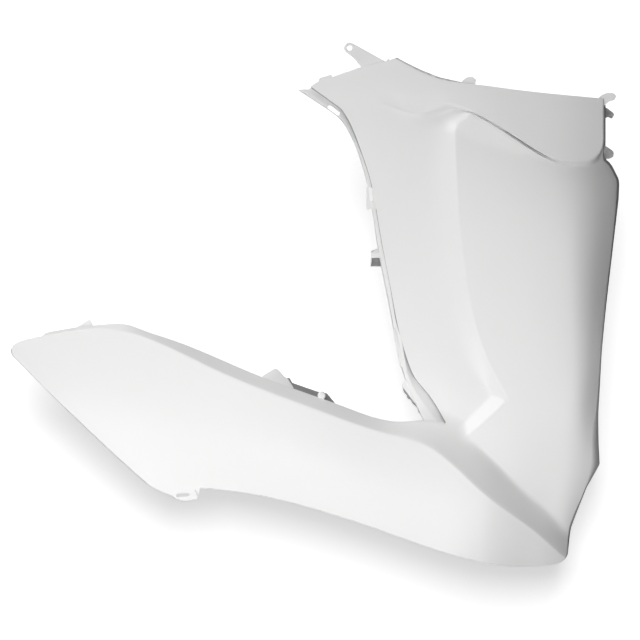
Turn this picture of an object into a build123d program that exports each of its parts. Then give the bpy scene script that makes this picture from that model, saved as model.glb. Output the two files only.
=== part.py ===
from build123d import *
import os

# Right-hand side fairing of a scooter: +X forward, +Y inboard, +Z up, origin at the screw hole.
# Points are (X, Z) in the side view, (X, Y) in a level section and (Y, Z) in an upright one.
wall = 3.2                                # skin thickness, measured along the pull
pull = Vector(-0.34, 0.92, -0.12)         # the way the inner skin lies from the outer one
outside = 90                              # distance that clears the outermost skin
back = 120                                # depth at which every mass is closed
rim_depth = 34                            # inboard edge of the front return

# Recessed panel between the notch and the ridge, bottom to top
recess_sections = {
    -540: [(70, 2), (105, -10), (150, -13), (230, -2)],
    -440: [(70, 0), (105, -7), (150, -12), (230, -2)],
    -390: [(50, 1), (80, -4), (140, -12), (230, -2)],
    -310: [(25, 4), (65, -1), (130, -9), (230, 0)],
    -230: [(5, 3), (50, 1), (115, -6), (230, 2)],
    -150: [(-10, 3), (35, 0), (105, -4), (230, 5)],
    -80: [(-50, 3), (0, -1), (95, -4), (230, 8)],
    10: [(-90, 10), (0, 6), (95, 4), (230, 14)],
}
recess_curve = 4                          # points of a section on its curve

# Raised front volume from the ridge to the fold, then its straight front return, bottom to top
volume_sections = {
    -650: [(110, -2), (190, -8), (238, -6), (262, -3), (270, 1), (278, 40)],
    -560: [(110, -9), (190, -16), (240, -14.5), (262, -12.5), (275, -7), (284, 34)],
    -500: [(110, -15), (190, -21), (245, -21), (272, -20), (291, -15), (305, 34)],
    -440: [(110, -18), (195, -25), (250, -25), (278, -21), (294, -11.5), (302, 36)],
    -370: [(110, -14), (205, -24), (255, -22.5), (285, -15), (300, -4), (306, 38)],
    -295: [(110, -12), (190, -21), (250, -18.8), (290, -6.4), (308, 10.5), (316, 42)],
    -180: [(100, -14), (170, -17), (235, -14.5), (300, 5), (323, 24), (331, 48)],
    -110: [(100, -14), (160, -13), (225, -8.5), (295, 11.5), (321, 29), (330, 52)],
    0: [(100, -12), (160, -8), (225, 1), (290, 18), (319, 32), (328, 54)],
}
volume_curve = 5

# Slope around the front volume: its crest and its foot, each at one depth
crest_depth = -30
foot_depth = 0
crest_top = [(150, -146), (190, -164), (240, -178), (275, -182)]
crest_ridge = [(150, -146), (149, -200), (157, -262), (168, -340), (182, -390), (197, -422)]
crest_heel = (136, -491)
foot_top = [(104, -62), (163, -74), (215, -88), (275, -118)]
foot_ridge = [(104, -62), (106, -160), (112, -240), (124, -330), (148, -410)]
foot_heel = (102, -462)
volume_shoulder = (288, 0)
volume_far = (360, -660)

# Collar across the top, proud of the panels below it, tail to front
collar_edge = [(-80, -100), (-10, -72), (45, -69), (78, -79), (116, -72), (151, -80), (217, -120),
               (262, -139)]
collar_end = (304, 20)
collar_corner = 22
collar_sections = {
    -90: [(8, 20), (5, -40), (6, -110)],
    0: [(1, 20), (-2, -40), (1, -110)],
    60: [(-3, 20), (-6, -40), (-7, -110)],
    116: [(-5, 20), (-9, -40), (-15, -110)],
    165: [(-3, 20), (-9, -40), (-18, -110)],
    217: [(-2, 20), (-8, -60), (-18, -130)],
    265: [(2, 20), (-3, -60), (-13, -140)],
    320: [(12, 20), (9, -60), (2, -140)],
}
collar_runs = [(0, 2)]                    # first and last point of each curve of a section

# Wall that closes the step under the collar's edge
step_wall = 2.4
step_foot = 1.2
step_inset = 1
step_depth = 18
step_start = 45

# Wing below the footboard, tail to front: top strip, crest, face, bottom
wing_sections = {
    -430: [(14, -320), (8, -333), (2, -347), (2, -385), (8, -480)],
    -365: [(12, -318), (4, -331), (-6, -345), (-8, -390), (0, -490)],
    -290: [(14, -310), (0, -323), (-15, -337), (-18, -405), (-7, -540)],
    -161: [(14, -358), (-6, -371), (-27, -385), (-31, -455), (-16, -575)],
    -36: [(14, -402), (-10, -418), (-35, -434), (-39, -495), (-25, -595)],
    45: [(12, -420), (-12, -442), (-38, -461), (-43, -520), (-31, -620)],
    97: [(8, -415), (-15, -449), (-43, -478), (-48, -540), (-35, -640)],
    157: [(-6, -461), (-29, -496), (-52, -530), (-52, -580), (-37, -650)],
    212: [(2, -511), (-20, -541), (-43, -571), (-40, -605), (-22, -655)],
    246: [(4, -538), (-14, -569), (-33, -600), (-30, -620), (-14, -660)],
    285: [(28, -575), (8, -604), (-12, -632), (-9, -645), (3, -680)],
}
wing_runs = [(0, 2), (2, 4)]              # strip and face, which meet at the crest

# Side view of the trimmed panel
top_edge = [(56, -12), (66, -17), (108, -36), (201, -51), (310, -60)]
front_flare = [(310, -133), (319, -141), (329, -158), (345, -175)]
front_clear = (345, -494)
front_sweep = [(304, -500), (292, -514), (283, -533), (267, -571), (262, -605)]
bottom_edge = [(242, -616), (185, -616), (104, -598), (22, -570), (-59, -546), (-184, -525)]
tail_edge = [(-212, -537), (-238, -525), (-262, -504), (-321, -449), (-386, -386), (-404, -367)]
tail_tip = [(-404, -367), (-405, -360), (-399, -354)]
wing_top = [(-388, -350), (-364, -342), (-295, -332), (-262, -333), (-223, -346), (-113, -391),
            (-6, -430), (60, -448)]
skin_edge = [(115, -446), (79, -397), (59, -338), (52, -302), (17, -116), (-2, -82), (-46, -47)]

# Lip along the notch: the same skin, set back, running on under the panel
lip_step = 2.2
lip_overlap = 9
lip_edge = [(89, -446), (67, -396), (54, -340), (47, -302), (34, -235), (22, -163), (11, -116),
            (-7, -86), (-61, -50)]

# Screw tab at the head
hole_radius = 3.25
tab_radius = 6.6
tab_wall = 2.8
tab_foot = [(13, -24), (20, -38), (48, -34), (41, -15)]

# Flat tabs: outline, outer depth, thickness and corner radius
tabs = {
    "head": ([(-37, -46), (-36, -35), (-22, -31), (-18, -44)], -0.2, 2.6, 1.5),
    "crown": ([(134, -54), (132, -42), (141, -35), (150, -36), (154, -54)], -9.2, 2.6, 3),
    "corner": ([(290, -72), (297, -58), (313, -52), (322, -55), (316, -63), (303, -72)], 2.6, 3, 3),
    "upper_hook": ([(302, -80), (310, -71), (317, -74), (319, -81), (316, -85), (304, -86)], 24, 3.4, 1.2),
    "lower_hook": ([(302, -124), (309, -115), (316, -119), (318, -127), (315, -132), (304, -130)], 21, 3.4, 1.2),
    "lip_tab": ([(20, -166), (20, -193), (38, -193), (34, -166)], 4.2, 2.6, 1),
    "notch_tab": ([(70, -396), (62, -406), (64, -414), (84, -444), (100, -444), (84, -396)], 1, 3, 2),
    "tail_tab": ([(-330, -344), (-330, -337), (-314, -326), (-307, -334), (-300, -344)], -9.5, 2.6, 1),
    "strip_tab": ([(-108, -402), (-106, -394), (-90, -385), (-78, -393), (-72, -414)], -9, 2.6, 2.5),
    "wing_clip": ([(-215, -528), (-212, -537), (-206, -542), (-196, -545), (-181, -541), (-179, -537),
                   (-184, -520)], -17.2, 3.4, 1.5),
}

# Slots through the tabs and the lip: centre, length, width and angle
slots = [
    ((-19, -74.5), 17, 5, -38),
    ((25.5, -175), 16, 3, 95),
    ((-199, -535), 16, 4, 7),
]

# Clip box on the lip, and locating peg on a bracket inside the wing
clip_center = (33, -252)
clip_size = (17, 20)
clip_depth = (3, 14)
clip_wall = 2.4
bracket_plane = Plane(origin=(-49, 4, -410), x_dir=(0.94, 0, -0.342), z_dir=(0.325, -0.31, 0.893))
bracket_size = (56, 30)
bracket_corner = 4
bracket_wall = 2.6
peg_center = (-34, -417)
peg_radius = 4.6
peg_depth = (-16, 0)


def level_mass(sections, curve_points):
    with BuildPart() as mass:
        for height, points in sections.items():
            straight = points[curve_points - 1:]
            with BuildSketch(Plane.XY.offset(height)):
                with BuildLine():
                    Spline(*points[:curve_points])
                    Polyline(*straight, (points[-1][0], back), (points[0][0], back), points[0])
                make_face()
        loft()
    return mass.part


def upright_mass(sections, runs):
    with BuildPart() as mass:
        for station, points in sections.items():
            with BuildSketch(Plane.YZ.offset(station)):
                with BuildLine():
                    for first, last in runs:
                        Spline(*points[first:last + 1])
                    Polyline(points[-1], (back, points[-1][1]), (back, points[0][1]), points[0])
                make_face()
        loft()
    return mass.part


def slope_outline(depth, top, ridge, heel):
    with BuildSketch(Plane.XZ.offset(-depth)) as outline:
        with BuildLine():
            Spline(*top)
            Polyline(top[-1], volume_shoulder, (volume_far[0], volume_shoulder[1]), volume_far,
                     (heel[0], volume_far[1]), heel, ridge[-1])
            Spline(*ridge)
        make_face()
    return outline.sketch


def collar_prism(grow):
    edge = [(x, z - grow) for x, z in collar_edge]
    corner = (collar_end[0] + grow, edge[-1][1])
    with BuildPart() as prism:
        with BuildSketch(Plane.XZ):
            with BuildLine():
                Spline(*edge)
                Polyline(edge[-1], corner, (corner[0], collar_end[1]), (edge[0][0], collar_end[1]), edge[0])
            make_face()
            fillet(vertices().sort_by_distance((corner[0], 0, corner[1]))[0], collar_corner + grow)
        extrude(amount=outside, both=True)
    return prism.part


def trim_prism(sketch):
    with BuildPart() as prism:
        extrude(sketch, amount=outside)
        extrude(sketch, amount=-rim_depth)
    return prism.part


def flat_tab(outline, depth, thickness, radius):
    with BuildPart() as tab:
        with BuildSketch(Plane.XZ.offset(-depth)):
            with BuildLine():
                FilletPolyline(*outline, radius=radius, close=True)
            make_face()
        extrude(amount=-thickness)
    return tab.part


with BuildPart() as slope:
    foot = slope_outline(foot_depth, foot_top, foot_ridge, foot_heel)
    loft([slope_outline(crest_depth, crest_top, crest_ridge, crest_heel), foot], ruled=True)
    extrude(foot, amount=-back)

with BuildPart() as volume:
    add(level_mass(volume_sections, volume_curve))
    add(slope.part, mode=Mode.INTERSECT)

collar_skin = upright_mass(collar_sections, collar_runs)

with BuildPart() as collar:
    add(collar_prism(0))
    add(collar_skin, mode=Mode.INTERSECT)

# The outer form as one block, which the walls are taken from
with BuildPart() as masses:
    add(level_mass(recess_sections, recess_curve))
    add(volume.part)
    add(collar.part)
    add(upright_mass(wing_sections, wing_runs))


def set_back(distance):
    return masses.part.moved(Location(pull.normalized() * distance))


with BuildSketch(Plane.XZ) as panel_outline:
    with BuildLine():
        Spline(*top_edge)
        Line(top_edge[-1], front_flare[0])
        Spline(*front_flare)
        Polyline(front_flare[-1], front_clear, front_sweep[0])
        Spline(*front_sweep)
        Spline(front_sweep[-1], *bottom_edge)
        Line(bottom_edge[-1], tail_edge[0])
        Spline(*tail_edge)
        ThreePointArc(*tail_tip)
        Spline(tail_tip[-1], *wing_top)
        Line(wing_top[-1], skin_edge[0])
        Spline(*skin_edge)
        Line(skin_edge[-1], top_edge[0])
    make_face()

with BuildSketch(Plane.XZ) as lip_outline:
    with BuildLine():
        Spline(*lip_edge)
        inner = [(x + lip_overlap, z) for x, z in skin_edge]
        Polyline(lip_edge[-1], skin_edge[-1], inner[-1])
        Spline(*inner)
        Line(inner[0], lip_edge[0])
    make_face()

with BuildPart() as lip:
    add(set_back(lip_step))
    add(set_back(lip_step + wall), mode=Mode.SUBTRACT)
    add(trim_prism(lip_outline.sketch), mode=Mode.INTERSECT)

with BuildPart() as collar_step:
    add(collar_skin.moved(Location((0, step_inset, 0))))
    add(collar_skin.moved(Location((0, step_depth, 0))), mode=Mode.SUBTRACT)
    add(collar_prism(step_foot), mode=Mode.INTERSECT)
    add(collar_prism(-step_wall), mode=Mode.SUBTRACT)
    add(trim_prism(panel_outline.sketch), mode=Mode.INTERSECT)
    split(bisect_by=Plane.YZ.offset(step_start), keep=Keep.TOP)

with BuildPart() as screw_tab:
    with BuildSketch(Plane.XZ.offset(tab_wall / 2)):
        Circle(tab_radius)
        Polygon(*tab_foot, align=None)
        make_hull()
    extrude(amount=-tab_wall)

with BuildPart() as clip_box:
    with BuildSketch(Plane.XZ.offset(-clip_depth[0])):
        with Locations(clip_center):
            Rectangle(*clip_size)
    extrude(amount=clip_depth[0] - clip_depth[1])
    offset(amount=-clip_wall, openings=faces().sort_by(Axis.Y)[-1])

with BuildPart() as peg_bracket:
    with BuildSketch(bracket_plane):
        RectangleRounded(*bracket_size, bracket_corner)
    extrude(amount=bracket_wall)
    with BuildSketch(Plane.XZ.offset(-peg_depth[0])):
        with Locations(peg_center):
            Circle(peg_radius)
    extrude(amount=peg_depth[0] - peg_depth[1])

with BuildPart() as fairing:
    add(masses.part)
    add(set_back(wall), mode=Mode.SUBTRACT)
    add(trim_prism(panel_outline.sketch), mode=Mode.INTERSECT)
    flat_tabs = [flat_tab(*values) for values in tabs.values()]
    add([lip.part, collar_step.part, screw_tab.part, clip_box.part, peg_bracket.part, *flat_tabs])
    with BuildSketch(Plane.XZ):
        Circle(hole_radius)
        for center, length, width, angle in slots:
            with Locations(Location((*center, 0), (0, 0, angle))):
                SlotOverall(length, width)
    extrude(amount=outside, both=True, mode=Mode.SUBTRACT)

os.makedirs("parts", exist_ok=True)
fairing.part.label = "side_fairing"
export_step(fairing.part, "parts/side_fairing.step")
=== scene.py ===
import math
import bpy
import numpy as np
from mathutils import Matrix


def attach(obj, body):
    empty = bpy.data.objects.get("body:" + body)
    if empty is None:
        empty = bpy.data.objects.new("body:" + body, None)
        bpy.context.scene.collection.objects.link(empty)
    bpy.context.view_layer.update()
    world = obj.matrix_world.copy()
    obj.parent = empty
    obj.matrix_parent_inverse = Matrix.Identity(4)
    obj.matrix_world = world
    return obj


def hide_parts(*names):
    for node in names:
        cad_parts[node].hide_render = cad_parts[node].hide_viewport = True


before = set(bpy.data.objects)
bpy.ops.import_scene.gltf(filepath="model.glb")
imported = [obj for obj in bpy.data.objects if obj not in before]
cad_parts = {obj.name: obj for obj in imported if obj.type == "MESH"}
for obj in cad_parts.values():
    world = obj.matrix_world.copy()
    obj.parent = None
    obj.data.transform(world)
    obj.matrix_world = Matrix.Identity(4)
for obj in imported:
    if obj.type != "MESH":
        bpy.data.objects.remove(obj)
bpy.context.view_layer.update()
mm = 0.001

# Points are in millimetres: (x, z) seen from outside, (x, y) across a level section, (y, z) across an upright one.
panelForm = {
    "recess": {                      # hollowed panel beside the notch, by height
        -540: [(70, 2), (105, -10), (150, -13), (230, -7)],
        -440: [(70, 0), (105, -7), (150, -12), (230, -7)],
        -390: [(50, 1), (80, -4), (140, -12), (230, -8)],
        -310: [(25, 4), (65, -1), (130, -9), (230, -5)],
        -230: [(5, 3), (50, 1), (115, -6), (230, 2)],
        -150: [(-10, 3), (35, 0), (105, -4), (230, 5)],
        -80: [(-50, 3), (0, -1), (95, -4), (230, 8)],
        10: [(-90, 10), (0, 6), (95, 4), (230, 14)],
    },
    "recessEnd": 215,                # past this it runs behind the raised front
    "volume": {                      # raised front, from the ridge to the fold, by height
        -650: [(110, -2), (190, -8), (238, -6), (262, -3), (270, 1)],
        -560: [(110, -9), (190, -16), (240, -14.5), (262, -12.5), (275, -7)],
        -500: [(110, -15), (190, -21), (245, -21), (272, -20), (291, -15)],
        -440: [(110, -18), (195, -25), (250, -25), (278, -21), (294, -11.5)],
        -370: [(110, -14), (205, -24), (255, -22.5), (285, -15), (300, -4)],
        -295: [(110, -12), (190, -21), (250, -18.8), (290, -6.4), (308, 10.5)],
        -180: [(100, -14), (170, -17), (235, -14.5), (300, 5), (323, 24)],
        -110: [(100, -14), (160, -13), (225, -8.5), (295, 11.5), (321, 29)],
        0: [(100, -12), (160, -8), (225, 1), (290, 18), (319, 32)],
    },
    "collar": {                      # proud band across the top, by station
        -90: [(8, 20), (5, -40), (6, -110)],
        0: [(1, 20), (-2, -40), (1, -110)],
        60: [(-3, 20), (-6, -40), (-7, -110)],
        116: [(-5, 20), (-9, -40), (-15, -110)],
        165: [(-3, 20), (-9, -40), (-18, -110)],
        217: [(-2, 20), (-8, -60), (-18, -130)],
        265: [(2, 20), (-3, -60), (-13, -140)],
        320: [(12, 20), (9, -60), (2, -140)],
    },
    "crestDepth": -30,
    "footDepth": 0,
    "crestTop": [(150, -122), (190, -140), (240, -154), (275, -160)],
    "footTop": [(104, -44), (150, -34), (215, -38), (275, -70)],
    "crestRidge": [(172, -82), (157, -92), (151, -108), (150, -146), (149, -200), (157, -262), (168, -340),
                   (182, -390), (197, -422)],
    "footRidge": [(126, -80), (111, -91), (105, -108), (104.5, -135), (106, -160), (112, -240), (124, -330),
                  (148, -410)],
    "crestHeel": [(136, -491), (197, -422)],
    "footHeel": [(102, -462), (148, -410)],
    "ridgeRound": 0.5,               # softness of the ridge, in depth
    "cornerRound": 6,
    "footRound": [(-440, 0.8), (-408, 1), (-390, 9), (-350, 14)],   # height, and softness of the slope's foot
    "ledgeRound": 6,
    "groove": [(112, 0), (132, 2), (158, 5), (235, 4.5), (268, 0)],   # depth of the shut line under the collar
    "grooveStart": 0.2, "grooveWidth": 2.4, "grooveFullness": 0.7,
    # station, and reach of the collar's edge: soft near the head, sharp further on
    "collarSoft": [(-20, 26), (30, 16), (60, 9), (105, 8), (130, 2.5), (160, 0.4), (240, 0.5), (275, 3), (304, 5)],
    "dent": [(34, 0), (58, 2.4), (94, 2.4), (116, 0)],   # hollow over the collar's soft edge
    "dentReach": (9, 26),
    # station, and height of the flare under the collar
    "wedge": [(98, 0), (126, 28), (144, 33), (180, 27), (221, 12), (238, 0)],
    "wedgeSlope": 0.11,
}

wingForm = {
    "sections": {                    # top strip, crest, face, by station
        -430: [(34, -320), (18, -333), (2, -347), (2, -385), (8, -480)],
        -365: [(30, -318), (12, -331), (-6, -345), (-8, -390), (0, -490)],
        -290: [(20, -310), (2.5, -323), (-15, -337), (-18, -405), (-7, -540)],
        -161: [(8, -358), (-9, -371), (-27, -385), (-31, -455), (-16, -575)],
        -36: [(7, -402), (-14, -418), (-35, -434), (-39, -495), (-25, -595)],
        45: [(12, -420), (-12, -442), (-38, -461), (-43, -520), (-31, -620)],
        97: [(8, -415), (-15, -449), (-43, -478), (-48, -540), (-35, -640)],
        157: [(-6, -461), (-29, -496), (-52, -530), (-52, -580), (-37, -650)],
        212: [(2, -511), (-20, -541), (-43, -571), (-40, -605), (-22, -655)],
        246: [(4, -538), (-14, -569), (-33, -600), (-30, -620), (-14, -660)],
        285: [(28, -575), (8, -604), (-12, -632), (-9, -645), (3, -680)],
    },
    "crestRound": [(-320, 0.35), (-240, 0.7), (-60, 1.5)],   # station and softness of the crest
    "tipEdge": [(-405.1, -361.4), (-403.4, -358.2), (-399.5, -354.6), (-393.5, -351.5), (-385.5, -349.1),
                (-376.5, -347.3), (-366, -345)],
    "topEdge": [(-366, -342.5), (-361.5, -341.2), (-347.5, -338.4), (-329.5, -335.4), (-301.5, -332.4),
                (-283.5, -331), (-269.5, -331.4), (-259.5, -333.8), (-240, -341), (-223, -346.5), (-113, -391),
                (-6, -430), (60, -448), (89, -446)],
    "tailEdge": [(-405.1, -365.6), (-404.2, -367.8), (-401.3, -371.6), (-393.5, -379.2), (-386, -386.6),
                 (-364.5, -408), (-321, -449.5), (-262, -504), (-238, -525)],
    "clipEdge": [(-238, -525), (-226, -531), (-211, -537), (-208, -540), (-197, -543), (-182, -540.5), (-179.5, -538),
                 (-178, -526.5)],
    "bottomEdge": [(-178, -526.5), (-125, -532), (-59, -546), (23, -571), (105, -599), (145, -610),
                   (187, -617), (226, -618), (242, -616), (256, -612)],
    # stations of the same columns along the top edge, the crest and the bottom edge
    "columnTop": [-405.1, -393, -364, -295, -223, -113, -6, 60, 89, 129, 168, 213, 263],
    "columnCrest": [-405.1, -395, -366, -297, -226, -117, -14, 50, 78, 108, 143, 193, 256],
    "columnBottom": [-405.1, -400, -374, -302, -232, -122, -22, 38, 62, 85, 115, 170, 250],
    "tailColumns": 150,
    "tailCrowd": 0.85,               # crowding of the columns at the tail's tip
    "stripRows": (10, 0.5),          # rows and their crowding
    "faceRows": (34, 0.6),
    "tipShare": 0.3,                 # share of the tip's height above the crest
    "stripShare": 0.3, "stripLeast": 1.5,   # the strip is at least this high, or this share of a narrow tail
}

panelGrid = {
    "headEdge": [(-61, -50), (-56, -48.8), (-48.5, -49), (-41.5, -42), (-35.5, -38.9), (-21, -34.6), (12.5, -23.3),
                 (42.5, -16.6), (48.5, -15), (56, -12)],
    "topEdge": [(56, -13.5), (66, -19.2), (108, -38), (150, -44.6), (201, -51), (304, -60)],
    "collarEdge": [(-20, -77), (-8, -72), (45, -69), (78, -79), (116, -72), (151, -80), (217, -120),
                   (262, -139), (282, -139)],
    "collarCorner": (282, -117, 22),  # centre and radius of the collar's rounded corner
    "ledgeEdge": [(89, -446), (115, -449), (129, -457), (168, -491), (213, -530), (263, -577)],
    "upperRails": [                  # lip edge, foot of its step, skin edge, slope foot, ridge, fold
        [(-61, -50), (-30, -71), (-20, -77)],
        [(-47, -47.6), (-21, -64.2), (-11, -74)],
        [(-46, -47), (-20, -63.5), (-10, -73.3)],
        [(86, -27), (103, -74.5)],
        [(122, -39), (126, -74)],
        [(304, -60), (304, -117)],
    ],
    "lowerRails": [
        [(-20, -77), (-11.5, -84), (-2, -97), (6, -113), (13, -132), (21, -158.5), (34, -235), (47, -302), (54, -340),
         (67, -396), (89, -446)],
        [(-11, -74.3), (-4, -84.5), (2, -96.5), (8, -111), (14, -127.5), (23.5, -156.3), (35, -217), (51, -302),
         (57.5, -336), (60.5, -345), (72, -398), (82.6, -418), (104, -447)],
        [(-10, -73.6), (-3, -84), (3, -96), (9, -110.5), (15, -127), (24.5, -156), (36, -217), (52, -302), (59, -338),
         (69, -373), (79.5, -397), (92, -412), (115, -449)],
        [(103, -74.5), (106, -160), (112, -240), (130, -330), (148, -410), (158, -482)],
        [(126, -74), (126.5, -110), (128, -155), (131, -210), (136, -250), (142, -290), (151, -332), (160, -360),
         (173, -390), (185.5, -414), (194, -440), (212, -529)],
        [(304, -117), (306, -133), (310, -143), (318, -158), (320.5, -180), (308, -295), (300, -370), (293, -440),
         (288.5, -477), (288, -500), (281, -526), (270, -559), (263, -577)],
    ],
    "columns": [(4, 0), (3, 0), (32, 0.4), (38, 0.3), (62, 0.8)],   # cells and their crowding between rails
    "valley": (0, 0.08, 0.93, 1),    # places of the valley's columns, between the step's rails
    "rim": [(-617, 251, 8), (-604, 262, 10), (-591, 264, 12), (-573, 266.5, 14), (-559, 271.5, 18), (-526, 286, 27),
            (-500, 304, 34), (-477, 302.5, 34), (-440, 301.6, 34), (-370, 305.2, 34), (-295, 314, 34),
            (-180, 327.5, 34), (-158, 328.4, 33), (-141, 319, 28), (-133, 310, 22), (-60, 310, 22)],   # z, x, y
    "returnColumns": 8,
    "returnTurn": 0.8,               # where the rounded fold turns, from the fold to the rim
    "returnLeast": (1, 6),           # least reach of the return, ahead and inboard
    "foldSteep": 1.2,                # most that the skin falls at the fold, to each step ahead
    "foldStep": 0.2,
    "edgeRows": [0.3, 0.7, 1.2, 1.8, 2.5, 3.6, 5.2, 7.8],   # distances from the collar's edge
    "upperRows": 14,
    "lowerRows": (74, 92),           # from the collar to the heel, then to the ledge
    "heelShare": 0.78,               # where the heel lies, from the collar to the ledge
    "firstShare": 0.02,
    # height, then the depth at the valley, before it and at the edge
    "lipStep": [(-446, 7.5, 2, 2), (-395, 7, 2, 2), (-350, 4.5, 2.2, 1.6), (-300, 3.4, 2.4, 1.4),
                (-130, 3.4, 2.4, 1.4), (-85, 5.5, 5, 1.2), (-50, 5.5, 5, 1.2)],
    "lipHollow": 1.6,
}

shellWall = {
    "pull": (-1.1, 2.9, 0.25), "weld": 0.02, "rimBevel": 0.45, "smoothAngle": 40,
    "lowerEdgeShade": 0.65, "lowerEnd": 240, "lowerBand": 4,   # painted shade: a dark line along the wing's lower edge, in the bare plastic colour
    "frontShadeFade": (-4.8, -2.8), "frontShadeFoot": (-612, -590),   # painted shade: the front return darkens toward its rim, in the bare plastic colour
}


def throughPoints(knots, values, at):
    # natural cubic through each row of points, straight past its ends
    count = knots.shape[1]
    step = np.diff(knots, axis=1)
    rise = np.diff(values, axis=1) / step
    system = np.zeros(knots.shape + (count,))
    system[:, 0, 0] = system[:, -1, -1] = 1
    target = np.zeros(knots.shape)
    for i in range(1, count - 1):
        system[:, i, i - 1] = step[:, i - 1]
        system[:, i, i] = 2 * (step[:, i - 1] + step[:, i])
        system[:, i, i + 1] = step[:, i]
        target[:, i] = 6 * (rise[:, i] - rise[:, i - 1])
    bend = np.linalg.solve(system, target[..., None])[..., 0]
    size = (len(at), count)
    knots, values, bend = (np.broadcast_to(a, size) for a in (knots, values, bend))
    inside = np.clip(at, knots[:, 0], knots[:, -1])
    cell = np.clip((inside[:, None] >= knots).sum(axis=1) - 1, 0, count - 2)
    row = np.arange(len(at))
    k0, k1 = knots[row, cell], knots[row, cell + 1]
    v0, v1 = values[row, cell], values[row, cell + 1]
    m0, m1 = bend[row, cell], bend[row, cell + 1]
    width = k1 - k0
    a, b = (k1 - inside) / width, (inside - k0) / width
    result = a * v0 + b * v1 + ((a ** 3 - a) * m0 + (b ** 3 - b) * m1) * width ** 2 / 6
    slope = (v1 - v0) / width + ((1 - 3 * a ** 2) * m0 + (3 * b ** 2 - 1) * m1) * width / 6
    return result + slope * (at - inside)


def along(knots, values, at):
    order = np.argsort(knots)
    return throughPoints(np.array([knots], float)[:, order], np.array([values], float)[:, order], np.asarray(at, float))


def straightBetween(points, at, column=1):
    points = np.array(points, float)
    return np.interp(at, points[:, 0], points[:, column])


def curveZ(points, x):
    return along([p[0] for p in points], [p[1] for p in points], x)


def curveX(points, z):
    return along([p[1] for p in points], [p[0] for p in points], z)


def sectionPoints(sections, at):
    keys = sorted(sections)
    first = []
    second = []
    for i in range(len(sections[keys[0]])):
        first.append(along(keys, [sections[k][i][0] for k in keys], at))
        second.append(along(keys, [sections[k][i][1] for k in keys], at))
    return np.stack(first, axis=1), np.stack(second, axis=1)


def softMin(a, b, soft):
    share = np.clip(0.5 + 0.5 * (b - a) / soft, 0, 1)
    return b * (1 - share) + a * share - soft * share * (1 - share)


def softMax(a, b, soft):
    return -softMin(-a, -b, soft)


def levelDepth(sections, x, z):
    pointX, pointY = sectionPoints(sections, z)
    return throughPoints(pointX, pointY, x)


def slopeDepth(near, far):
    share = near / (near + far)      # nought at the foot, one at the crest
    return panelForm["footDepth"] + share * (panelForm["crestDepth"] - panelForm["footDepth"])


def panelDepth(x, z):
    footX, crestX = curveX(panelForm["footRidge"], z), curveX(panelForm["crestRidge"], z)
    ridge = slopeDepth(x - footX, crestX - x)
    footZ, crestZ = curveZ(panelForm["footTop"], x), curveZ(panelForm["crestTop"], x)
    top = slopeDepth(footZ - z, z - crestZ)
    heelFoot, heelCrest = curveZ(panelForm["footHeel"], x), curveZ(panelForm["crestHeel"], x)
    heel = slopeDepth(heelFoot - z, z - heelCrest)
    slope = softMax(top, softMin(ridge, heel, panelForm["ridgeRound"]), panelForm["cornerRound"])
    front = softMax(levelDepth(panelForm["volume"], x, z), slope, panelForm["ridgeRound"])
    recess = levelDepth(panelForm["recess"], x, z) + np.clip(x - panelForm["recessEnd"], 0, None)
    return softMin(recess, front, straightBetween(panelForm["footRound"], z))


def collarDepth(x, z):
    pointY, pointZ = sectionPoints(panelForm["collar"], x)
    return throughPoints(-pointZ, pointY, -z)


def wingDepth(x, z):
    pointY, pointZ = sectionPoints(wingForm["sections"], x)
    strip = throughPoints(-pointZ[:, :3], pointY[:, :3], -z)
    face = throughPoints(-pointZ[:, 2:], pointY[:, 2:], -z)
    return softMax(strip, face, straightBetween(wingForm["crestRound"], x))


def bodyDepth(x, z):
    return softMin(panelDepth(x, z), wingDepth(x, z), panelForm["ledgeRound"])


def smoothStep(low, high, at):
    share = np.clip((at - low) / (high - low), 0, 1)
    return share * share * (3 - 2 * share)


def railPoint(points, share):
    points = np.array(points, float)
    length = np.concatenate([[0], np.cumsum(np.hypot(*np.diff(points, axis=0).T))])
    share = np.atleast_1d(share)
    if len(points) == 2:
        return points[0] + share[:, None] * (points[1] - points[0])
    return np.stack([along(length / length[-1], points[:, i], share) for i in (0, 1)], axis=1)


def crowded(cells, crowd):
    even = np.linspace(0, 1, cells + 1)
    return (1 - crowd) * even + crowd * (1 - np.cos(math.pi * even)) / 2


def collarEdgeZ(x):
    centerX, centerZ, radius = panelGrid["collarCorner"]
    arc = centerZ - np.sqrt(np.clip(radius ** 2 - (x - centerX) ** 2, 0, None))
    return np.where(x > centerX, arc, curveZ(panelGrid["collarEdge"], x))


def headEdgeZ(x):
    head = panelGrid["headEdge"]
    return np.where(x < head[-1][0], straightBetween(head, x), curveZ(panelGrid["topEdge"], x))


def betweenRails(rails, share):
    # one row of points across all rails
    marks = np.concatenate([railPoint(rail, share) for rail in rails])
    row = []
    for block, (cells, crowd) in enumerate(panelGrid["columns"]):
        part = panelGrid["valley"] if block == 1 else crowded(cells, crowd)
        points = marks[block] + np.array(part)[:, None] * (marks[block + 1] - marks[block])
        row.append(points if block == 0 else points[1:])
    return np.concatenate(row)


def lowerRow(share):
    # rows run from the collar's edge to the ledge, and follow both
    row = betweenRails(panelGrid["lowerRails"], share)
    start, end = betweenRails(panelGrid["lowerRails"], 0), betweenRails(panelGrid["lowerRails"], 1)
    row[:, 1] += (1 - share) ** 2 * (collarEdgeZ(start[:, 0]) - start[:, 1])
    row[:, 1] += share ** 2 * (curveZ(panelGrid["ledgeEdge"], end[:, 0]) - end[:, 1])
    return row


def upperRow(share):
    row = betweenRails(panelGrid["upperRails"], share)
    start, end = betweenRails(panelGrid["upperRails"], 0), betweenRails(panelGrid["upperRails"], 1)
    row[:, 1] += (1 - share) * (headEdgeZ(start[:, 0]) - start[:, 1])
    row[:, 1] += share * (collarEdgeZ(end[:, 0]) - end[:, 1])
    return row


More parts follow.
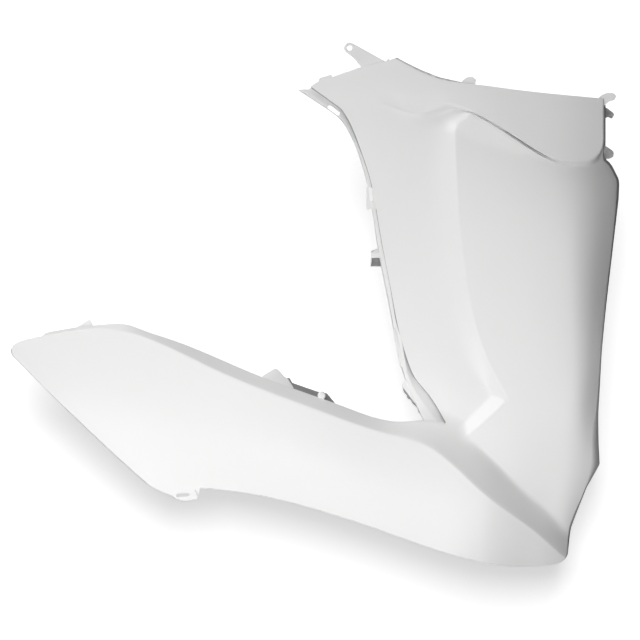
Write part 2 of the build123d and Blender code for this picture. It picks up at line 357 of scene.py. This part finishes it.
def returnPoints(fold, inward, rim):
    # rounded fold, then the return that runs back to the rim
    turn = fold + panelGrid["returnTurn"] * (rim[:, :1] - fold[:, :1]) * inward
    share = np.linspace(0, 1, panelGrid["returnColumns"] + 1)[1:, None, None]
    curve = (1 - share) ** 2 * fold + 2 * share * (1 - share) * turn + share ** 2 * rim
    return np.swapaxes(curve, 0, 1)


def lipDrop(count, z):
    # how far each column of a row lies behind the painted skin
    lipCells, stepCells = panelGrid["columns"][0][0], panelGrid["columns"][1][0]
    valley, foot, edge = (straightBetween(panelGrid["lipStep"], z, depth) for depth in (1, 2, 3))
    column = np.arange(count)
    across = np.clip(column / lipCells, 0, 1) ** panelGrid["lipHollow"]
    down = np.interp(column - lipCells, np.arange(stepCells), panelGrid["valley"][:stepCells])
    return np.where(column < lipCells + stepCells, edge + across * (foot - edge) + down * (valley - foot), 0)


def collarShare(x, distance):
    # how far the collar's face holds at a distance above its edge
    soft = straightBetween(panelForm["collarSoft"], x)
    return smoothStep(-soft, soft, distance)


def grooveDrop(x, distance):
    # shut line below the collar's edge, and the hollow above it
    across = np.clip((-distance - panelForm["grooveStart"]) / panelForm["grooveWidth"], 0, 1)
    groove = straightBetween(panelForm["groove"], x) * np.sin(math.pi * across) ** panelForm["grooveFullness"]
    low, high = panelForm["dentReach"]
    rise = 1 - (1 - np.clip(distance / low, 0, 1)) ** 2
    return groove + straightBetween(panelForm["dent"], x) * rise * (1 - smoothStep(low, high, distance))


def wedgeRise(x, z):
    # flare that comes outward toward the collar's edge, from a soft valley below it
    below = np.clip(collarEdgeZ(x) - z, 0, None)
    return panelForm["wedgeSlope"] * np.clip(straightBetween(panelForm["wedge"], x) - below, 0, None)


def panelRows():
    # points of each row, with their distance above the collar's edge
    rows = []
    edge = upperRow(1.0)
    near = panelGrid["edgeRows"]
    top = upperRow(0.0)
    reach = np.hypot(*(top - edge).T)
    for share in np.linspace(0, 1, panelGrid["upperRows"], endpoint=False):
        away = near[-1] + (1 - share) * (reach - near[-1])
        rows.append((edge + (top - edge) * (away / reach)[:, None], away))
    for away in reversed(near):
        rows.append((edge + (top - edge) * (away / reach)[:, None], np.full(len(edge), away)))
    first = panelGrid["firstShare"]
    length = np.hypot(*(lowerRow(first) - lowerRow(0.0)).T) / first
    for away in [0.0] + near:
        share = away / length
        rows.append((edge + (lowerRow(first) - edge) * (share / first)[:, None], np.full(len(edge), -away)))
    marks = [near[-1] / length.mean(), panelGrid["heelShare"], 1]
    shares = [np.linspace(marks[i], marks[i + 1], cells + 1)[1:] for i, cells in enumerate(panelGrid["lowerRows"])]
    farBelow = np.full(len(edge), -1000.0)
    for share in np.concatenate(shares):
        rows.append((lowerRow(share), farBelow))
    return rows


def panelPoints():
    grid = []
    for row, away in panelRows():
        x, z = row.T
        body = bodyDepth(x, z) + lipDrop(len(x), z) - wedgeRise(x, z)
        collar = collarDepth(x, z) + lipDrop(len(x), z)
        share = collarShare(x, away)
        y = body + share * (collar - body) + grooveDrop(x, away)
        grid.append(np.stack([x, y, z], axis=1))
    grid = np.stack(grid)
    return np.concatenate([grid, foldReturn(grid)], axis=1)


def foldReturn(grid):
    fold = grid[:, -1]
    inward = fold - grid[:, -2]
    inward = inward / np.clip(np.abs(inward[:, :1]), panelGrid["foldStep"], None)
    inward[:, 1:] = np.clip(inward[:, 1:], -panelGrid["foldSteep"], panelGrid["foldSteep"])
    height = fold[:, 2]
    end = np.stack([straightBetween(panelGrid["rim"], height, 1), straightBetween(panelGrid["rim"], height, 2), height],
                   axis=1)
    end[:, :2] = np.maximum(end[:, :2], fold[:, :2] + panelGrid["returnLeast"])
    return returnPoints(fold, inward, end)


def wingBottomZ(x):
    tail, clip, bottom = (wingForm[key] for key in ("tailEdge", "clipEdge", "bottomEdge"))
    ahead = np.where(x > clip[-1][0], curveZ(bottom, x), straightBetween(clip, x))
    return np.where(x < clip[0][0], curveZ(tail, x), ahead)


def wingTopZ(x):
    # the strip starts bluntly, a little way from the round tip
    tip, top = wingForm["tipEdge"], wingForm["topEdge"]
    return np.where(x < top[0][0], curveZ(tip, x), curveZ(top, x))


def wingPoints(sharedRow):
    # columns from the tail's tip to the notch, then those of the panel above
    marks = wingForm["columnTop"]
    front = sharedRow[:-panelGrid["returnColumns"]]
    even = np.linspace(0, 1, wingForm["tailColumns"] + 1)[:-1]
    tailX = marks[0] + (front[0, 0] - marks[0]) * (even + wingForm["tailCrowd"] * (even ** 2 - even))
    topX = np.concatenate([tailX, front[:, 0]])
    topZ = np.concatenate([wingTopZ(tailX), front[:, 2]])
    crestX = along(marks, wingForm["columnCrest"], topX)
    crestLine = [(x, points[2][1]) for x, points in wingForm["sections"].items()]
    bottomX = along(marks, wingForm["columnBottom"], topX)
    bottomZ = wingBottomZ(bottomX)
    # no strip before its blunt start
    tipShare = np.interp(topX, [marks[0], wingForm["topEdge"][0][0]], [wingForm["tipShare"], 0])
    least = np.clip(wingForm["stripShare"] * (topZ - bottomZ), 0, wingForm["stripLeast"])
    highest = np.minimum(topZ - least, topZ + tipShare * (bottomZ - topZ))
    crestZ = np.minimum(curveZ(crestLine, crestX), highest)
    grid = []
    for share in crowded(*wingForm["stripRows"])[:-1]:
        grid.append((topX + share * (crestX - topX), topZ + share * (crestZ - topZ)))
    for share in crowded(*wingForm["faceRows"]):
        grid.append((crestX + share * (bottomX - crestX), crestZ + share * (bottomZ - crestZ)))
    grid = np.stack([np.stack([x, bodyDepth(x, z), z], axis=1) for x, z in grid])
    grid[0, len(tailX):] = front
    grid = np.concatenate([grid, foldReturn(grid)], axis=1)
    grid[0, len(tailX):] = sharedRow
    return grid


def addGrid(name, points):
    bpy.ops.object.select_all(action="DESELECT")
    rows, columns = points.shape[:2]
    bpy.ops.mesh.primitive_grid_add(x_subdivisions=columns - 1, y_subdivisions=rows - 1, size=2)
    piece = bpy.context.object
    piece.name = name
    piece.data.vertices.foreach_set("co", (points.reshape(-1, 3) * mm).ravel())
    piece.data.update()
    return piece


def applyModifier(piece, kind, **values):
    modifier = piece.modifiers.new(kind.lower(), kind)
    for key, value in values.items():
        setattr(modifier, key, value)
    bpy.context.view_layer.objects.active = piece
    bpy.ops.object.modifier_apply(modifier=modifier.name)


def innerSideAndShade(piece):
    # the pulled side is selected and gets bare plastic; its rim stays white, except along the wing's lower edge, where
    # painted shade darkens it, and painted shade also darkens the front return toward its rim
    inner = np.array([vertex.select for vertex in piece.data.vertices])
    ends = np.array([edge.vertices[:] for edge in piece.data.edges])
    rim = ends[inner[ends[:, 0]] != inner[ends[:, 1]]]
    shares = inner.astype(float)
    x, _, z = np.array([vertex.co for vertex in piece.data.vertices]).T / mm
    toRim = x - straightBetween(panelGrid["rim"], z)
    # painted shade on the front return, fading in toward its rim and above its foot
    frontShade = np.interp(toRim, shellWall["frontShadeFade"], (0, 1)) * np.interp(z, shellWall["frontShadeFoot"], (0, 1))
    # painted shade along the wing's lower edge
    lowerShade = (x < shellWall["lowerEnd"]) & (z < wingBottomZ(x) + shellWall["lowerBand"])
    shares[rim.ravel()] = np.where(lowerShade, shellWall["lowerEdgeShade"], 0)[rim.ravel()]
    return np.maximum(shares, frontShade)


def makeShell():
    panel = panelPoints()
    upper = addGrid("fairingShell", panel)
    lower = addGrid("wingSkin", wingPoints(panel[-1]))
    upper.select_set(True)
    bpy.context.view_layer.objects.active = upper
    bpy.ops.object.join()
    bpy.ops.object.mode_set(mode="EDIT")
    bpy.ops.mesh.select_all(action="SELECT")
    bpy.ops.mesh.remove_doubles(threshold=shellWall["weld"] * mm)
    bpy.ops.mesh.normals_make_consistent(inside=False)
    bpy.ops.mesh.select_mode(type="EDGE")
    bpy.ops.mesh.select_all(action="DESELECT")
    bpy.ops.mesh.select_non_manifold(use_wire=False, use_multi_face=False, use_non_contiguous=False, use_verts=False)
    bpy.ops.transform.edge_bevelweight(value=1)
    bpy.ops.mesh.select_all(action="SELECT")
    bpy.ops.mesh.extrude_region_move(TRANSFORM_OT_translate={"value": [v * mm for v in shellWall["pull"]]})
    bpy.ops.object.mode_set(mode="OBJECT")
    # bare plastic inside, and painted shade on the wing's lower rim and the front return
    setBareAndShade(upper, innerSideAndShade(upper))
    bpy.ops.object.mode_set(mode="EDIT")
    bpy.ops.mesh.select_all(action="SELECT")
    bpy.ops.mesh.normals_make_consistent(inside=False)
    bpy.ops.object.mode_set(mode="OBJECT")
    applyModifier(upper, "BEVEL", width=shellWall["rimBevel"] * mm, segments=2, limit_method="WEIGHT")
    bpy.ops.object.shade_smooth_by_angle(angle=math.radians(shellWall["smoothAngle"]))
    print("shell", len(upper.data.polygons), "faces")
    return upper


paintFinish = {
    "white": (0.87, 0.87, 0.865, 1), "shade": (0.84, 0.84, 0.838, 1), "patch": 5,   # patches to a metre
    "peel": 420, "peelDepth": 0.05,  # orange peel of the lacquer
    "roughness": (0.29, 0.35), "coat": 0.12, "coatRoughness": 0.16,
    # dark bare plastic colour: the inside, and painted shade on rims, hooks, bracket, flange and pocket
    "bareAndShade": (0.3, 0.3, 0.305, 1), "bareRoughness": 0.58, "grain": 1500, "grainDepth": 0.25,
    "spray": 160, "sprayRange": 0.5, "sprayFade": (0.3, 0.75),   # ragged overspray where the paint ends, and on the edges of the painted shade
    "bump": 0.5, "bumpHeight": 0.0006,
}


def addNode(tree, kind, **values):
    node = tree.nodes.new(kind)
    for key, value in values.items():
        if hasattr(node, key):
            setattr(node, key, value)
        else:
            node.inputs[key].default_value = value
    return node


def joinInputs(tree, sockets, values):
    # a socket among the values is linked, a constant is set
    for socket, value in zip(sockets, values):
        if isinstance(value, bpy.types.NodeSocket):
            tree.links.new(value, socket)
        else:
            socket.default_value = value


def addMath(tree, operation, *values):
    node = addNode(tree, "ShaderNodeMath", operation=operation)
    joinInputs(tree, node.inputs, values)
    return node.outputs[0]


def addMix(tree, kind, share, first, second):
    node = addNode(tree, "ShaderNodeMix", data_type=kind)
    start, result = {"FLOAT": (2, 0), "RGBA": (6, 2)}[kind]   # the node's sockets of that kind
    joinInputs(tree, (node.inputs[0], node.inputs[start], node.inputs[start + 1]), (share, first, second))
    return node.outputs[result]


def makeGrainGroup():
    # fine height and broad patches at two scales, from the piece's own coordinates
    group = bpy.data.node_groups.new("surfaceGrain", "ShaderNodeTree")
    for name in ("Grain Scale", "Patch Scale"):
        group.interface.new_socket(name, in_out="INPUT", socket_type="NodeSocketFloat")
    for name in ("Grain", "Patch"):
        group.interface.new_socket(name, in_out="OUTPUT", socket_type="NodeSocketFloat")
    start = group.nodes.new("NodeGroupInput")
    end = group.nodes.new("NodeGroupOutput")
    place = group.nodes.new("ShaderNodeTexCoord")
    for scale, result, detail in (("Grain Scale", "Grain", 2), ("Patch Scale", "Patch", 4)):
        noise = addNode(group, "ShaderNodeTexNoise", Detail=detail, Roughness=0.5)
        group.links.new(place.outputs["Object"], noise.inputs["Vector"])
        group.links.new(start.outputs[scale], noise.inputs["Scale"])
        group.links.new(noise.outputs["Fac"], end.inputs[result])
    return group


def makePaint():
    paint = bpy.data.materials.new("whitePaint")
    paint.use_nodes = True
    tree = paint.node_tree
    shader = tree.nodes["Principled BSDF"]
    shader.inputs["Coat Weight"].default_value = paintFinish["coat"]
    shader.inputs["Coat Roughness"].default_value = paintFinish["coatRoughness"]
    grain = makeGrainGroup()
    peel = addNode(tree, "ShaderNodeGroup", node_tree=grain)
    moulded = addNode(tree, "ShaderNodeGroup", node_tree=grain)
    for node, fine, broad in ((peel, "peel", "patch"), (moulded, "grain", "spray")):
        node.inputs["Grain Scale"].default_value = paintFinish[fine]
        node.inputs["Patch Scale"].default_value = paintFinish[broad]
    # bare plastic inside; the same dark colour is painted shade on the hooks, bracket, rims, flange and pocket, with a
    # ragged edge of overspray
    bareAndShade = addNode(tree, "ShaderNodeAttribute", attribute_name="bareAndShade")
    reach = paintFinish["sprayRange"]
    ragged = addMath(tree, "MULTIPLY_ADD", moulded.outputs["Patch"], reach, -reach / 2)
    spray = addMath(tree, "ADD", bareAndShade.outputs["Fac"], ragged)
    bareShadeMask = addNode(tree, "ShaderNodeMapRange", interpolation_type="SMOOTHSTEP")
    bareShadeMask.inputs["From Min"].default_value, bareShadeMask.inputs["From Max"].default_value = paintFinish["sprayFade"]
    tree.links.new(spray, bareShadeMask.inputs["Value"])
    gloss = addNode(tree, "ShaderNodeMapRange")
    gloss.inputs["To Min"].default_value, gloss.inputs["To Max"].default_value = paintFinish["roughness"]
    tree.links.new(peel.outputs["Patch"], gloss.inputs["Value"])
    tone = addMix(tree, "RGBA", peel.outputs["Patch"], paintFinish["shade"], paintFinish["white"])
    color = addMix(tree, "RGBA", bareShadeMask.outputs[0], tone, paintFinish["bareAndShade"])
    dull = addMix(tree, "FLOAT", bareShadeMask.outputs[0], gloss.outputs[0], paintFinish["bareRoughness"])
    heights = [addMath(tree, "MULTIPLY", node.outputs["Grain"], paintFinish[depth])
               for node, depth in ((peel, "peelDepth"), (moulded, "grainDepth"))]
    height = addMix(tree, "FLOAT", bareShadeMask.outputs[0], *heights)
    bump = addNode(tree, "ShaderNodeBump", Strength=paintFinish["bump"], Distance=paintFinish["bumpHeight"])
    tree.links.new(height, bump.inputs["Height"])
    for source, target in ((color, "Base Color"), (dull, "Roughness"), (bump.outputs["Normal"], "Normal")):
        tree.links.new(source, shader.inputs[target])
    return paint


def setBareAndShade(piece, shares):
    layer = piece.data.attributes.get("bareAndShade") or piece.data.attributes.new("bareAndShade", "FLOAT", "POINT")
    layer.data.foreach_set("value", np.broadcast_to(np.asarray(shares, float), len(piece.data.vertices)).copy())


plateFinish = {
    "cornerShare": 0.45, "cornerSteps": 6,   # a rounding takes at most this share of a side
    "rimBevel": 0.4, "bevelAngle": 35, "smoothAngle": 22,
    "cutter": (-60, 120),            # start and reach of a cut
    # share of a plate's face darkened to the bare plastic colour: painted shade on pieces that sit in shadow
    "bareAndShade": {"pegBracket": 1, "upperHook": 0.62, "lowerHook": 0.62, "notchRim": 0.7, "topFlange": 0.5},
}


def roundedOutline(corners, radius):
    outline = []
    corners = np.array(corners, float)
    most = plateFinish["cornerShare"]
    for i, corner in enumerate(corners):
        before, after = corners[i - 1] - corner, corners[(i + 1) % len(corners)] - corner
        reach = min(radius, most * np.hypot(*before), most * np.hypot(*after))
        start, end = corner + before / np.hypot(*before) * reach, corner + after / np.hypot(*after) * reach
        for share in np.linspace(0, 1, plateFinish["cornerSteps"]):
            outline.append((1 - share) ** 2 * start + 2 * share * (1 - share) * corner + share ** 2 * end)
    return np.array(outline)


def arcOutline(radius, turns, center=(0, 0)):
    turns = np.radians(turns)
    return np.stack([np.cos(turns), np.sin(turns)], axis=1) * radius + np.array(center)


def roundOutline(radius, center=(0, 0)):
    return arcOutline(radius, np.linspace(0, 360, 32, endpoint=False), center)


def addPlate(name, outline, depth, wall, tilt=(0, 0)):
    # flat outline at its depth, pulled inboard to its thickness, with a bare back and its face darkened by its share of
    # painted shade
    bpy.ops.object.select_all(action="DESELECT")
    bpy.ops.mesh.primitive_circle_add(vertices=len(outline), fill_type="NGON")
    piece = bpy.context.object
    piece.name = name
    y = depth + (outline - outline.mean(axis=0)) @ np.array(tilt, float)
    points = np.stack([outline[:, 0], y, outline[:, 1]], axis=1)
    piece.data.vertices.foreach_set("co", (points * mm).ravel())
    piece.data.update()
    piece.location = (0, 0, 0)
    bpy.ops.object.mode_set(mode="EDIT")
    bpy.ops.mesh.select_all(action="SELECT")
    bpy.ops.mesh.extrude_region_move(TRANSFORM_OT_translate={"value": (0, wall * mm, 0)})
    bpy.ops.object.mode_set(mode="OBJECT")
    back = [vertex.select for vertex in piece.data.vertices]
    # painted shade: the face takes its plate's share of the bare plastic colour
    setBareAndShade(piece, np.where(back, 1, plateFinish["bareAndShade"].get(name, 0)))
    bpy.ops.object.mode_set(mode="EDIT")
    bpy.ops.mesh.select_all(action="SELECT")
    bpy.ops.mesh.normals_make_consistent(inside=False)
    bpy.ops.object.mode_set(mode="OBJECT")
    return piece


def cutThrough(piece, outline):
    cutter = addPlate("cutter", outline, *plateFinish["cutter"])
    applyModifier(piece, "BOOLEAN", object=cutter, operation="DIFFERENCE", solver="EXACT")
    bpy.data.objects.remove(cutter)


def finishPlate(piece, rimBevel, segments=2, smoothAngle=plateFinish["smoothAngle"]):
    bpy.ops.object.select_all(action="DESELECT")
    piece.select_set(True)
    applyModifier(piece, "BEVEL", width=rimBevel * mm, segments=segments, limit_method="ANGLE",
                  angle_limit=math.radians(plateFinish["bevelAngle"]))
    bpy.ops.object.shade_smooth_by_angle(angle=math.radians(smoothAngle))


def dress(piece):
    piece.data.materials.clear()
    piece.data.materials.append(paint)
    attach(piece, "root")
    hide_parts("side_fairing")


slots = {                            # centre, length, width and angle
    "lip": ((-19, -74.5), 17, 5, -38),
    "lipTab": ((25.5, -175), 16, 3, 95),
    "clip": ((-199, -535), 16, 4, 4),
    "clipSlit": ((-182.5, -532), 8, 1.6, -68),
}


def cutSlot(piece, name):
    center, length, width, angle = slots[name]
    turn = math.radians(angle)
    ahead = np.array([math.cos(turn), math.sin(turn)]) * length / 2
    side = np.array([-math.sin(turn), math.cos(turn)]) * width / 2
    corners = [center - ahead - side, center + ahead - side, center + ahead + side, center - ahead + side]
    cutThrough(piece, roundedOutline(corners, width / 2))


screwTab = {
    "radius": 6.6, "hole": 3.25, "wall": 2.8, "rimBevel": 0.25,
    "endArc": (60, 249, 24),         # start, end and points of the round end
    "side": [(5.5, -12.4), (13.4, -22.4), (20, -38), (48, -34), (42.5, -15.8)],
}


def makeScrewTab():
    arc = arcOutline(screwTab["radius"], np.linspace(*screwTab["endArc"]))
    outline = np.concatenate([arc, np.array(screwTab["side"], float)])
    piece = addPlate("screwTab", outline, -screwTab["wall"] / 2, screwTab["wall"])
    cutThrough(piece, roundOutline(screwTab["hole"]))
    finishPlate(piece, screwTab["rimBevel"])
    return piece


edgeTabs = {                         # outline, outer depth, thickness, corner rounding
    "headTab": ([(-37, -46), (-36.8, -36.2), (-36.2, -35.8), (-22.2, -31.6), (-20.8, -33.6), (-18, -44)],
                0.6, 2.4, 0.5),
    "headNub": ([(42.5, -22), (43, -16.4), (46.6, -12.8), (48.4, -14.8), (50, -22)], -2, 2.4, 0.6),
    "crownTab": ([(132, -54), (134.5, -40), (140.5, -35.4), (147.5, -35), (152, -38.8), (150.5, -42.4), (150, -54)],
                 -6.6, 2.6, 2.5),
    "cornerTab": ([(290, -72), (298.9, -60), (303.9, -55.1), (310.9, -52.7), (318, -53.1), (321.3, -57),
                   (318.9, -61.7), (312.9, -63), (303, -72)], 6.6, 2.8, 2.2),
    "upperHook": ([(303, -80), (306, -68), (312.3, -70), (319.7, -75.7), (320.8, -78.1), (317.8, -82.6),
                   (313.5, -80.5), (304, -84)], 22, 3.4, 1.0),
    "lowerHook": ([(303, -126), (305, -113), (311.3, -116.8), (318.3, -121.7), (319.8, -124.7), (319.3, -128.8),
                   (315.3, -131.3), (304, -131)], 19, 3.4, 1.0),
    "lipTab": ([(20.1, -165.5), (20.1, -192.2), (22.6, -193.8), (25.6, -192.4), (38, -193), (34, -165.5)],
               4.2, 2.4, 0.8),
    "lipRim": ([(51.5, -337), (55, -337.5), (66, -379), (64.5, -382.5), (60.6, -382.8), (56.5, -362)],
               0.6, 2.4, 0.8),
    "notchTab": ([(70, -396), (66, -399.5), (63.8, -402.5), (63.4, -407), (67.2, -411.5), (86.2, -437), (90, -443),
                  (100, -444), (84, -396)], 1.6, 2.6, 2),
    "notchRim": ([(63.6, -406.5), (65.2, -413), (68.4, -416.6), (69.6, -420.6), (73.6, -422.4), (75.6, -426.6),
                  (81.4, -432), (83.4, -438.2), (86.6, -440), (88.6, -445.5), (98, -444), (80, -416), (68, -404)],
                 3.6, 3.4, 0.8),
    "topFlange": ([(53, -12.6), (57.5, -11.6), (66, -16.6), (86, -26.6), (108, -35.6), (136, -42), (136, -50),
                   (108, -45), (86, -36), (60, -22)], -3.4, 2.4, 0.6),
    "tailTab": ([(-331, -339), (-327.3, -335.4), (-313, -325.6), (-311, -326.6), (-307.4, -333), (-300, -337)],
                -4.4, 2.8, 0.8),
    "stripTab": ([(-108, -404), (-104.9, -393.4), (-92.3, -385.6), (-88.1, -384.6), (-84.5, -387.2), (-78.5, -394),
                  (-73.8, -397), (-66.6, -407.7), (-70, -412)], -10, 2.8, 2),
}
tabTilt = {"topFlange": (-0.06, 0.05), "stripTab": (0.26, 0.75), "tailTab": (-0.1, 0.5)}   # depth gained along x and z


def makeEdgeTabs():
    pieces = []
    for name, (corners, depth, wall, rounding) in edgeTabs.items():
        piece = addPlate(name, roundedOutline(corners, rounding), depth, wall, tabTilt.get(name, (0, 0)))
        if name in slots:
            cutSlot(piece, name)
        finishPlate(piece, plateFinish["rimBevel"])
        pieces.append(piece)
    return pieces


clipBox = {
    "across": (25.5, 40),            # x
    "section": [(3.2, -246.5), (3.2, -251), (13, -262), (12, -238)],   # (y, z), front strip then back
    "slant": 5, "rimBevel": 0.35,
    "pocketRim": 1.4, "pocketPush": (0, 2, 8),
    "topShade": 0.62, "pocketShade": 0.75, "paintedBand": (-253, -245),   # painted shade on the top facet and in the pocket; z of the strip left white between them
}


def makeClipBox():
    low, high = clipBox["across"]
    section = np.array(clipBox["section"], float)
    bpy.ops.object.select_all(action="DESELECT")
    bpy.ops.mesh.primitive_cube_add(size=1)
    piece = bpy.context.object
    piece.name = "clipBox"
    for vertex in piece.data.vertices:
        x, y, z = vertex.co
        corner = section[(0 if y < 0 else 3) if z > 0 else (1 if y < 0 else 2)]
        drop = clipBox["slant"] if x < 0 < z and y > 0 else 0
        vertex.co = np.array([low if x < 0 else high, corner[0], corner[1] - drop]) * mm
    bpy.ops.object.mode_set(mode="EDIT")
    bpy.ops.mesh.select_mode(type="FACE")
    bpy.ops.mesh.select_all(action="DESELECT")
    bpy.ops.object.mode_set(mode="OBJECT")
    for face in piece.data.polygons:
        face.select = face.normal.z < -0.5
    bpy.ops.object.mode_set(mode="EDIT")
    bpy.ops.mesh.inset(thickness=clipBox["pocketRim"] * mm)
    bpy.ops.mesh.extrude_region_move(TRANSFORM_OT_translate={"value": [v * mm for v in clipBox["pocketPush"]]})
    bpy.ops.object.mode_set(mode="OBJECT")
    height = np.array([vertex.co.z for vertex in piece.data.vertices]) / mm
    bandLow, bandHigh = clipBox["paintedBand"]
    pocket = np.array([vertex.select for vertex in piece.data.vertices]) | (height < bandLow)
    # painted shade: the pocket and the top facet darkened in the bare plastic colour
    setBareAndShade(piece, np.where(pocket, clipBox["pocketShade"], np.where(height > bandHigh, clipBox["topShade"], 0)))
    finishPlate(piece, clipBox["rimBevel"])
    return piece


pegBracket = {
    "outline": [(-75, -396.4), (-72, -397), (-69, -402), (-39, -412.5), (-27, -415), (-17, -426.4), (-45, -416.4),
                (-78, -404.8)],
    # a shelf that rises from the strip's rim
    "root": (-45, -416, -13.5), "tilt": (1.17, 3.3), "wall": 8, "round": 0.8,
    "pegCenter": (-33.6, -417), "pegRadius": 4.8, "pegFront": -16, "pegBack": 4,
    "pegDome": 1.6, "domeSegments": 4, "pegSmooth": 35,
}


def makePegBracket():
    outline = roundedOutline(pegBracket["outline"], pegBracket["round"])
    away = outline.mean(axis=0) - np.array(pegBracket["root"][:2])
    plate = addPlate("pegBracket", outline, pegBracket["root"][2] + away @ np.array(pegBracket["tilt"]),
                     pegBracket["wall"], pegBracket["tilt"])
    finishPlate(plate, plateFinish["rimBevel"])
    rim = roundOutline(pegBracket["pegRadius"], pegBracket["pegCenter"])
    peg = addPlate("locatingPeg", rim, pegBracket["pegFront"], pegBracket["pegBack"] - pegBracket["pegFront"])
    finishPlate(peg, pegBracket["pegDome"], pegBracket["domeSegments"], pegBracket["pegSmooth"])
    return [plate, peg]


panelLamps = {                       # turn, rise, distance, size, power
    "topSoft": (-70, 75, 1.8, 0.9, 9.3),
    "topLeft": (-70, 50, 1.8, 0.9, 5.3),
    "topRight": (30, 75, 1.8, 0.9, 2.5),
    "nearLow": (-20, -25, 1.1, 0.6, 2.3),
    "nearLeft": (-45, -25, 1.1, 0.6, 2.4),
    "nearUnder": (-20, -50, 1.1, 0.6, 0.8),
    "nearFront": (5, -25, 1.1, 0.6, 1.9),
    "frontLeft": (-20, 0, 1.1, 0.6, 0.9),
    "frontSoft": (5, 0, 1.8, 0.9, 2.8),
    "rightSoft": (30, 0, 1.1, 0.6, 1.9),
    "heelGlint": (-44, 32, 1.8, 0.45, 4.4),
}
rearLamp = {"place": (-0.6, 1.6, 0.3), "size": 1.2, "power": 14}
floorLamp = {"place": (-2, 27, 1.7), "size": 1.5, "power": 31}   # turn, rise and distance
panelCenter = (-0.03, 0, -0.33)


def around(turn, rise, distance):
    # place at a turn and a rise from straight in front of the panel
    turn, rise = math.radians(turn), math.radians(rise)
    return (distance * math.sin(turn) * math.cos(rise) + panelCenter[0],
            -distance * math.cos(turn) * math.cos(rise) + panelCenter[1],
            distance * math.sin(rise) + panelCenter[2])


def addLamp(name, place, size, power, lit):
    bpy.ops.object.light_add(type="AREA", location=place)
    lamp = bpy.context.object
    lamp.name = name
    lamp.data.size = size
    lamp.data.energy = power
    lamp.visible_camera = False
    aim = np.array(panelCenter) - np.array(place)
    lamp.rotation_euler = (math.acos(-aim[2] / np.linalg.norm(aim)), 0, math.atan2(aim[1], aim[0]) - math.pi / 2)
    lamp.light_linking.receiver_collection = lit


def linkCollection(name, objects):
    group = bpy.data.collections.new(name)
    for item in objects:
        group.objects.link(item)
    return group


floorSheet = {"color": (0.8, 0.8, 0.8, 1), "glow": 0.62, "size": 6, "place": (0, 0.05, -0.6), "lean": 76}


def makeBackdrop():
    # sheet behind the panel that catches its shadow, and is clear from the other side
    sheet = bpy.data.materials.new("backdropSheet")
    sheet.use_nodes = True
    tree = sheet.node_tree
    tree.nodes.clear()
    out = addNode(tree, "ShaderNodeOutputMaterial")
    diffuse = addNode(tree, "ShaderNodeBsdfDiffuse", Color=floorSheet["color"])
    glow = addNode(tree, "ShaderNodeEmission", Color=(1, 1, 1, 1))
    seen = addNode(tree, "ShaderNodeLightPath")
    level = addMath(tree, "MULTIPLY", seen.outputs["Is Camera Ray"], floorSheet["glow"])
    tree.links.new(level, glow.inputs["Strength"])
    both = addNode(tree, "ShaderNodeAddShader")
    joinInputs(tree, both.inputs, (diffuse.outputs[0], glow.outputs[0]))
    behind = addNode(tree, "ShaderNodeNewGeometry")
    clear = addNode(tree, "ShaderNodeBsdfTransparent")
    mix = addNode(tree, "ShaderNodeMixShader")
    joinInputs(tree, mix.inputs, (behind.outputs["Backfacing"], both.outputs[0], clear.outputs[0]))
    tree.links.new(mix.outputs[0], out.inputs["Surface"])
    bpy.ops.object.select_all(action="DESELECT")
    bpy.ops.mesh.primitive_plane_add(size=floorSheet["size"], location=floorSheet["place"],
                                     rotation=(math.radians(floorSheet["lean"]), 0, 0))
    backdrop = bpy.context.object
    backdrop.name = "floorSheet"
    backdrop.data.materials.append(sheet)
    backdrop.visible_shadow = False
    backdrop.visible_diffuse = False
    backdrop.visible_glossy = False
    return backdrop


studio = {"mirrored": 0.2, "fill": 0.03}   # white room, weak in reflections and weaker as light


def makeWorld():
    world = bpy.data.worlds.new("studio")
    bpy.context.scene.world = world
    world.use_nodes = True
    tree = world.node_tree
    seen = addNode(tree, "ShaderNodeLightPath")
    direct = addMath(tree, "MAXIMUM", seen.outputs["Is Camera Ray"], seen.outputs["Is Transmission Ray"])
    mirrored = addMath(tree, "MULTIPLY", seen.outputs["Is Glossy Ray"], studio["mirrored"])
    strength = addMath(tree, "MAXIMUM", addMath(tree, "MAXIMUM", direct, mirrored), studio["fill"])
    room = tree.nodes["Background"]
    room.inputs["Color"].default_value = (1, 1, 1, 1)
    tree.links.new(strength, room.inputs["Strength"])


cameraView = {"place": (-0.0355, -2.6, -0.3264), "distance": 2.6, "width": 0.768, "sensor": 36}


def placeCamera():
    bpy.ops.object.camera_add(location=cameraView["place"], rotation=(math.pi / 2, 0, 0))
    camera = bpy.context.object
    camera.data.lens = cameraView["sensor"] * cameraView["distance"] / cameraView["width"]
    bpy.context.scene.camera = camera
    bpy.context.scene.view_settings.view_transform = "Standard"


paint = makePaint()
shell = makeShell()
for name in slots:
    cutSlot(shell, name)
print("slots cut")
pieces = [shell, makeScrewTab(), makeClipBox(), *makeEdgeTabs(), *makePegBracket()]
for piece in pieces:
    dress(piece)
print("pieces dressed", len(pieces))

panelOnly = linkCollection("panelPieces", pieces)
floorOnly = linkCollection("floorPieces", [makeBackdrop()])
for name, (turn, rise, far, size, power) in panelLamps.items():
    addLamp(name, around(turn, rise, far), size, power, panelOnly)
addLamp("rearFill", rearLamp["place"], rearLamp["size"], rearLamp["power"], panelOnly)
addLamp("floorSoft", around(*floorLamp["place"]), floorLamp["size"], floorLamp["power"], floorOnly)
print("lamps placed", len(panelLamps) + 2)
makeWorld()
placeCamera()
print("room and camera set")
